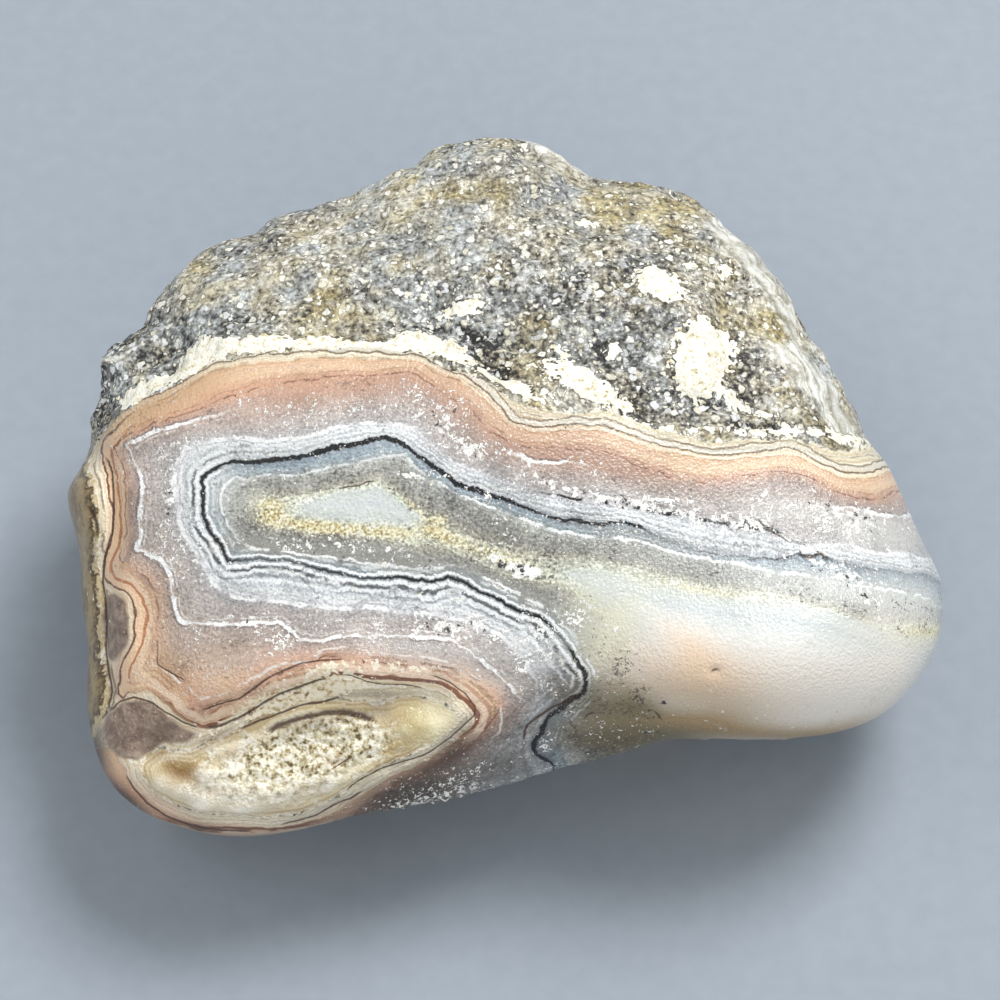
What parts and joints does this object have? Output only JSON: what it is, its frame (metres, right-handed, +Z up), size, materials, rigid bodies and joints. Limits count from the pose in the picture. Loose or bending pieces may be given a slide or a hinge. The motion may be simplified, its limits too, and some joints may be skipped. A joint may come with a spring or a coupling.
{
  "type": "fairburn agate",
  "caption": "Water-worn agate nodule with fortification bands on its upper face, a rough granular rind over its back, and a small flat underneath that it rests on.",
  "frame": {"origin": "on the ground under the middle of the stone's bounding box", "axes": "+X to the right along the stone's longest side, +Y towards its rough back, +Z up; the banded face looks up and towards -Y"},
  "size_m": [0.0618, 0.0511, 0.0282],
  "materials": {
    "banded_chalcedony": "satin, waxy where the bands are worn smooth and granular on the rind"
  },
  "bodies": {
    "root": {"agate": "banded_chalcedony"}
  },
  "joints": []
}
